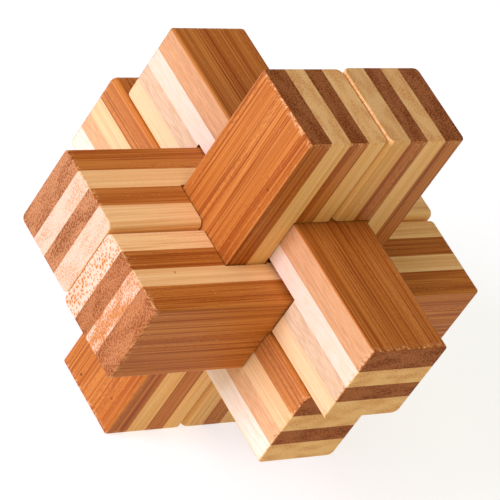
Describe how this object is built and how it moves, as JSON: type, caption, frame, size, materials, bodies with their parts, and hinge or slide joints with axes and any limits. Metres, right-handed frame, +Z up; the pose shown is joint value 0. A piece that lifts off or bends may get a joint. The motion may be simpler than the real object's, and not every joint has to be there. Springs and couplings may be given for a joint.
{
  "type": "interlocking burr puzzle",
  "caption": "Burr puzzle of square striped bamboo sticks that cross in pairs at right angles and lock by their notches, with a solid key stick that slides out.",
  "frame": {"origin": "on the surface that the puzzle stands on, at the parting plane between the feet of the two upright sticks", "axes": "+Z up along the two upright sticks, +Y along the top and key sticks towards the end the key is pushed out of, +X along the back and front sticks"},
  "size_m": [0.0772, 0.0822, 0.0773],
  "materials": {
    "dark_bamboo": "sanded and oiled, satin",
    "light_bamboo": "sanded and oiled, satin"
  },
  "bodies": {
    "left_stick": {"left_stick_inner_dark_ply_lower_end": "dark_bamboo", "left_stick_inner_dark_ply_upper_end": "dark_bamboo", "left_stick_inner_light_ply_lower_end": "light_bamboo", "left_stick_inner_light_ply_upper_end": "light_bamboo", "left_stick_outer_dark_ply": "dark_bamboo", "left_stick_outer_light_ply": "light_bamboo"},
    "right_stick": {"right_stick_inner_dark_ply_lower_end": "dark_bamboo", "right_stick_inner_dark_ply_upper_end": "dark_bamboo", "right_stick_inner_light_ply_lower_end": "light_bamboo", "right_stick_inner_light_ply_upper_end": "light_bamboo", "right_stick_outer_dark_ply": "dark_bamboo", "right_stick_outer_light_ply": "light_bamboo"},
    "back_stick": {"back_stick_inner_dark_ply_left_end": "dark_bamboo", "back_stick_inner_dark_ply_middle": "dark_bamboo", "back_stick_inner_dark_ply_right_end": "dark_bamboo", "back_stick_inner_light_ply_left_end": "light_bamboo", "back_stick_inner_light_ply_middle": "light_bamboo", "back_stick_inner_light_ply_right_end": "light_bamboo", "back_stick_outer_dark_ply": "dark_bamboo", "back_stick_outer_light_ply": "light_bamboo"},
    "front_stick": {"front_stick_inner_dark_ply_left_end": "dark_bamboo", "front_stick_inner_dark_ply_middle": "dark_bamboo", "front_stick_inner_dark_ply_right_end": "dark_bamboo", "front_stick_inner_light_ply_left_end": "light_bamboo", "front_stick_inner_light_ply_middle": "light_bamboo", "front_stick_inner_light_ply_right_end": "light_bamboo", "front_stick_outer_dark_ply": "dark_bamboo", "front_stick_outer_light_ply": "light_bamboo"},
    "top_stick": {"top_stick_inner_dark_ply_far_end": "dark_bamboo", "top_stick_inner_dark_ply_near_end": "dark_bamboo", "top_stick_inner_light_ply_far_end": "light_bamboo", "top_stick_inner_light_ply_near_end": "light_bamboo", "top_stick_outer_dark_ply": "dark_bamboo", "top_stick_outer_light_ply": "light_bamboo"},
    "key_stick": {"key_stick_inner_dark_ply": "dark_bamboo", "key_stick_inner_light_ply": "light_bamboo", "key_stick_outer_dark_ply": "dark_bamboo", "key_stick_outer_light_ply": "light_bamboo"}
  },
  "joints": [
    {"name": "key_slide", "type": "slide", "parent": "left_stick", "child": "key_stick", "axis": [0, 1, 0], "range_m": [-0.0625, 0.051]},
    {"name": "top_stick_play", "type": "slide", "parent": "left_stick", "child": "top_stick", "axis": [0, 1, 0], "range_m": [-0.0002, 0.0002]},
    {"name": "back_stick_play", "type": "slide", "parent": "left_stick", "child": "back_stick", "axis": [1, 0, 0], "range_m": [-0.0002, 0.0002]},
    {"name": "front_stick_play", "type": "slide", "parent": "left_stick", "child": "front_stick", "axis": [1, 0, 0], "range_m": [-0.0002, 0.0002]},
    {"name": "right_stick_play", "type": "slide", "parent": "left_stick", "child": "right_stick", "axis": [0, 0, 1], "range_m": [0, 0.0002]}
  ]
}
